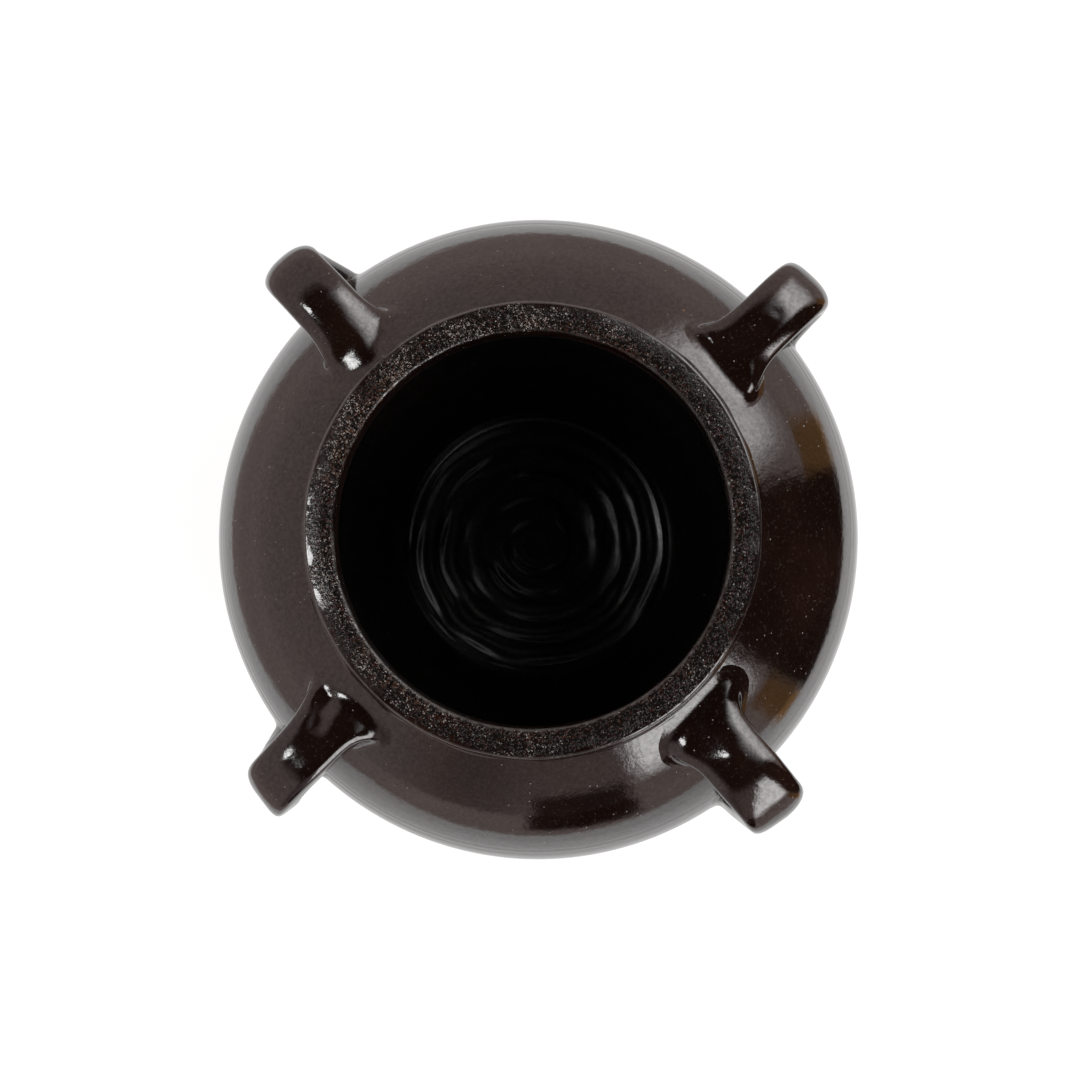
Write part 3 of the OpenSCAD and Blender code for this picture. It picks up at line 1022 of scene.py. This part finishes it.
add_handle("handle_right_pulled", "handle_right", 0, Strap(
    line=(15.8, 9.8, 6.0), widths=(19.2, 21.0), shifts=(-1.2, -1.0, -0.5),
    flares=((4.6, 82.0, 2.7), (7.5, 78.0, 3.0)), end=(72.3, 0.16, 0.006, 81.0),
    leans=(-1.0, -3.0), powers=(5.0, 2.3, 3.2),
    dents=[(98.4, -1.9, 1.6, 1.6, 0.12)], seed=31))
add_handle("handle_back_pulled", "handle_back", 1, Strap(
    line=(15.0, 9.1, 7.0), widths=(19.6, 22.0), shifts=(-0.5, -0.5, -4.5),
    flares=((9.0, 76.0, 4.0), (5.0, 80.0, 3.5)), end=(67.0, 0.33, 0.02, 80.0),
    leans=(10.2, 2.0), powers=(2.3, 2.1, 2.3),
    dents=[(72.5, -0.4, 10.0, 5.0, -1.1), (77.9, 6.1, 4.1, 5.4, 0.6)], seed=41))
add_handle("handle_left_pulled", "handle_left", 2, Strap(
    line=(16.2, 10.5, 11.0), widths=(18.2, 22.0), shifts=(0.2, 1.8, -2.5),
    flares=((7.0, 82.0, 4.5), (6.5, 79.0, 2.2)), end=(70.8, -0.1, 0.010, 80.0),
    leans=(3.0, 5.0), powers=(2.3, 2.6, 5.0),
    dents=[(81.5, -5.0, 5.0, 4.0, 1.5), (87.0, -1.5, 4.0, 3.5, 0.8)], seed=51))
add_handle("handle_front_pulled", "handle_front", 3, Strap(
    line=(15.0, 9.2, 11.5), widths=(21.2, 22.0), shifts=(-1.0, -3.0, -4.5),
    flares=((4.5, 82.0, 2.5), (6.0, 78.0, 2.0)), end=(68.5, -0.08, 0.018, 75.0),
    leans=(2.0, 8.0), powers=(5.0, 4.0, 2.1),
    dents=[(90.5, -2.0, 4.0, 4.0, -0.6)], seed=61))


# Floor and light

SHEET_R = 0.8
SHEET_SIDES = 96
SHEET = (0.9, 0.9, 0.9, 1.0)
WALL = (1.0, 0.81, 0.77, 1.0)
WARM = (1.0, 0.52, 0.20, 1.0)
WHITE = (1.0, 1.0, 1.0, 1.0)

# Sides of the table that reflections show under the pot, in metres, each with its softness
TABLE_X = (-0.220, 0.222, 0.008)
TABLE_Y = (-0.285, 0.232, 0.008)
SHEET_LEVEL = 1.10

# What stands round the pot: first and last image bearing of each in degrees, and its softness
DOORWAY = (-29.0, 15.0, 1.5)
AMBER_ABOVE = (13.0, 26.0, 2.5)
AMBER_BELOW = (-37.0, -29.0, 2.0)
STAND = (-92.0, -70.0, 1.0)
STAND_FOOT = (-93.0, -69.0, 1.5)
STAND_SHADE = (-97.0, -69.0, 4.0)
CORNER_SHADE = (-120.0, -93.0, 12.0)
LOW_BOX = (-66.0, -33.0, 3.0)

# The high box keeps its width as it rises: its middle's bearing, and its sides in a unit direction
HIGH_BOX_AT = 39.0
HIGH_BOX_SIDES = (-0.27, 0.28, 0.09)

# Brightness of the lamps, and the share of light that dark things take away
LOW_BOX_LEVEL = 6.8
SMALL_LAMP_LEVEL = 16.0
DARK_SHARE = 0.985


def window(n, value, low, high, soft):
    """1 where a value lies between low and high, with soft edges."""
    rising = n.ramp(value, low - soft, low + soft)
    falling = n.ramp(value, high - soft, high + soft, 1.0, 0.0)
    return n.times(rising, falling)


def add_floor_sheet():
    """White sheet under the pot.

    In reflections it is a table, dimmer close to the pot as a painted shadow of the pot, with a duller room
    beyond it: a dark doorway to the right, with amber light on both sides, and a dark stand below."""
    material, n = new_material("pale_floor")
    path = n.add("ShaderNodeLightPath").outputs
    glossy = path["Is Glossy Ray"]
    right, up, _ = image_parts(n, n.place())
    bearing = bearing_of(n, right, up)
    flat = n.add("ShaderNodeCombineXYZ", {0: right, 1: up}).outputs[0]
    far = n.add("ShaderNodeVectorMath", {0: flat}, operation="LENGTH").outputs["Value"]
    doorway = n.times(window(n, bearing, *DOORWAY), n.ramp(far, 0.212, 0.228))
    stand = n.times(window(n, bearing, *STAND_FOOT), n.ramp(far, 0.33, 0.39))
    dark = n.times(glossy, n.most(doorway, stand))
    beside = n.most(window(n, bearing, *AMBER_ABOVE), window(n, bearing, *AMBER_BELOW))
    amber = n.times(n.times(beside, n.ramp(far, 0.215, 0.24)), glossy)
    table = n.times(window(n, right, *TABLE_X), window(n, up, *TABLE_Y))
    room = n.times(n.rest(table), glossy)
    beyond = n.ramp(far, 0.20, 0.55, 0.55, 0.82)
    # Painted shadow: the table that reflections show is dimmer close to the pot, standing for the pot's
    # shadow on it
    table_with_painted_shadow = n.ramp(far, 0.14, 0.205, 0.90, 1.15)
    mirrored = n.between(beyond, table_with_painted_shadow, table)
    mirrored = n.times(mirrored, n.rest(n.times(amber, 0.32)))
    level = n.between(SHEET_LEVEL, mirrored, glossy)
    level = n.times(level, n.rest(n.times(dark, DARK_SHARE)))
    color = n.mix(amber, n.mix(room, WHITE, WALL), WARM)
    seen = n.most(path["Is Camera Ray"], n.most(glossy, path["Is Transmission Ray"]))
    factor = n.most(n.times(seen, 0.8), n.most(room, n.most(dark, amber)))
    plain = n.add("ShaderNodeBsdfDiffuse", {"Color": SHEET})
    bright = n.add("ShaderNodeEmission", {"Color": color, "Strength": level})
    mixed = n.add("ShaderNodeMixShader", {0: factor, 1: plain.outputs[0], 2: bright.outputs[0]})
    n.surface(mixed.outputs[0])
    mesh = bpy.data.meshes.new("floor_sheet")
    a = np.linspace(0, 2 * math.pi, SHEET_SIDES, endpoint=False)
    points = turned(SHEET_R, np.zeros(SHEET_SIDES), a)
    mesh.from_pydata(points.tolist(), [], [list(range(SHEET_SIDES))])
    mesh.materials.append(material)
    sheet = bpy.data.objects.new("floor_sheet", mesh)
    bpy.context.scene.collection.objects.link(sheet)


def add_world():
    """Pale walls under a dark ceiling, with two soft boxes, a small lamp, a dark doorway with amber
    light on both sides, and a dark stand."""
    world = bpy.data.worlds.new("studio")
    bpy.context.scene.world = world
    world.use_nodes = True
    n = Nodes(world.node_tree)
    right, up, high = image_parts(n, n.add("ShaderNodeTexCoord").outputs["Generated"])
    bearing = bearing_of(n, right, up)
    height = n.times(n.math("ARCSINE", high), 180 / math.pi)

    def patch(bearings, heights):
        return n.times(window(n, bearing, *bearings), window(n, height, *heights))

    level = n.ramp(height, 46.0, 62.0, 0.82, 0.02)
    shaded = n.most(n.times(patch(CORNER_SHADE, (-50.0, 70.0, 5.0)), 0.5),
                    n.times(patch(STAND_SHADE, (7.0, 60.0, 5.0)), 0.3))
    stand = n.times(patch(STAND, (-40.0, 7.0, 2.0)), 0.95)
    dark = n.times(n.most(window(n, bearing, *DOORWAY), stand), DARK_SHARE)
    level = n.times(level, n.rest(n.most(shaded, dark)))
    amber = n.most(patch(AMBER_ABOVE, (-28.0, -7.0, 2.0)), patch(AMBER_BELOW, (-28.0, -4.0, 3.0)))
    level = n.times(level, n.rest(n.times(amber, 0.36)))
    low_box = n.times(patch(LOW_BOX, (7.0, 54.0, 7.0)), LOW_BOX_LEVEL)
    off = n.times(n.math("SUBTRACT", bearing, HIGH_BOX_AT), math.pi / 180)
    outward = n.math("SQRT", n.rest(n.times(high, high)))
    sideways = n.times(n.math("SINE", off), outward)
    in_front = n.math("GREATER_THAN", n.math("COSINE", off), 0.0)
    high_box = n.times(window(n, sideways, *HIGH_BOX_SIDES), n.ramp(height, 24.0, 46.0, 3.9, 5.6))
    high_box = n.times(high_box, in_front)
    high_box = n.times(high_box, n.ramp(height, -6.0, 24.0))
    high_box = n.times(high_box, n.ramp(height, 41.0, 71.0, 1.0, 0.0))
    to_left = n.ramp(n.math("ABSOLUTE", bearing), 171.0, 175.0)
    small = n.times(n.times(to_left, window(n, height, 54.0, 63.0, 2.0)), SMALL_LAMP_LEVEL)
    lamps = n.math("ADD", n.math("ADD", low_box, high_box), small)
    walls = n.add("ShaderNodeBackground", {"Color": n.mix(amber, WALL, WARM), "Strength": level})
    boxes = n.add("ShaderNodeBackground", {"Color": WHITE, "Strength": lamps})
    light = n.add("ShaderNodeAddShader", {0: walls.outputs[0], 1: boxes.outputs[0]})
    white = n.add("ShaderNodeBackground", {"Color": WHITE, "Strength": 1.0})
    seen = n.add("ShaderNodeLightPath").outputs["Is Camera Ray"]
    mixed = n.add("ShaderNodeMixShader", {0: seen, 1: light.outputs[0], 2: white.outputs[0]})
    n.add("ShaderNodeOutputWorld", {"Surface": mixed.outputs[0]})


add_floor_sheet()
add_world()

bpy.context.scene.view_settings.view_transform = "Standard"
